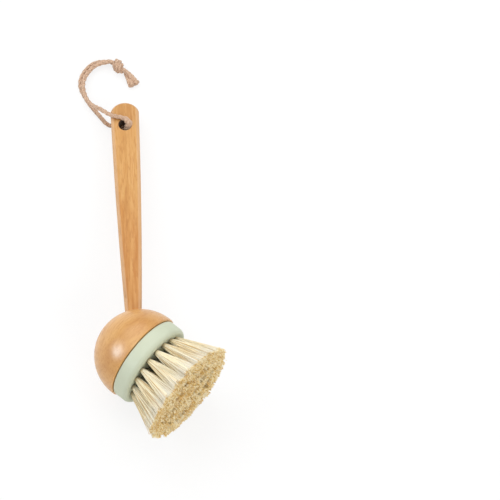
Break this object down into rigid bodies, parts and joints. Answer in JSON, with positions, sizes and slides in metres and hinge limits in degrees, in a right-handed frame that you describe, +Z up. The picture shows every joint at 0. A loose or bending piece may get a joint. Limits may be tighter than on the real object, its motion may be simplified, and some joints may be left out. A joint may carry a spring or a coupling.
{
  "type": "dish brush",
  "caption": "Wooden dish brush with a flat tapering handle, a dome-shaped head block, a twist-off plate of plant-fibre bristles and a twine hanging loop.",
  "frame": {"origin": "on the table, under the middle of the brush's box without its twine", "axes": "+Z up from the table, +Y along the handle from the head to the hanging hole, +X to the right seen from above with the handle pointing up"},
  "size_m": [0.097, 0.3038, 0.0779],
  "materials": {
    "handle_wood": "smooth, unvarnished",
    "dome_wood": "smooth, unvarnished",
    "plate_plastic": "satin moulded",
    "socket_plastic": "satin moulded",
    "steel": "plain",
    "fibre": "cut plant fibre",
    "twine": "twisted natural twine"
  },
  "bodies": {
    "grip": {"handle": "handle_wood", "dome": "dome_wood", "twist_socket": "socket_plastic", "socket_screw": "steel"},
    "brush_head": {"brush_plate": "plate_plastic", "tuft_anchors": "steel", "tuft_centre": "fibre", "tuft_inner_01": "fibre", "tuft_inner_02": "fibre", "tuft_inner_03": "fibre", "tuft_inner_04": "fibre", "tuft_inner_05": "fibre", "tuft_inner_06": "fibre", "tuft_inner_07": "fibre", "tuft_middle_01": "fibre", "tuft_middle_02": "fibre", "tuft_middle_03": "fibre", "tuft_middle_04": "fibre", "tuft_middle_05": "fibre", "tuft_middle_06": "fibre", "tuft_middle_07": "fibre", "tuft_middle_08": "fibre", "tuft_middle_09": "fibre", "tuft_middle_10": "fibre", "tuft_middle_11": "fibre", "tuft_middle_12": "fibre", "tuft_middle_13": "fibre", "tuft_outer_01": "fibre", "tuft_outer_02": "fibre", "tuft_outer_03": "fibre", "tuft_outer_04": "fibre", "tuft_outer_05": "fibre", "tuft_outer_06": "fibre", "tuft_outer_07": "fibre", "tuft_outer_08": "fibre", "tuft_outer_09": "fibre", "tuft_outer_10": "fibre", "tuft_outer_11": "fibre", "tuft_outer_12": "fibre", "tuft_outer_13": "fibre", "tuft_outer_14": "fibre", "tuft_outer_15": "fibre", "tuft_outer_16": "fibre", "tuft_outer_17": "fibre", "tuft_outer_18": "fibre", "tuft_outer_19": "fibre", "tuft_outer_20": "fibre"},
    "hanging_loop": {"twine_back": "twine", "twine_front": "twine", "twine_knot": "twine", "twine_tail_left": "twine", "twine_tail_right": "twine"}
  },
  "joints": [
    {"name": "head_twist", "type": "hinge", "parent": "grip", "child": "brush_head", "pos_m": [-0.01369, -0.0722, 0.033], "axis": [0.7173, -0.6833, 0.1363], "range_deg": [-60, 0]},
    {"name": "loop_swing", "type": "hinge", "parent": "grip", "child": "hanging_loop", "pos_m": [-0.01758, 0.11324, 0.01044], "axis": [-0.0749, 0.1189, 0.9901], "range_deg": [-140, 40]}
  ]
}
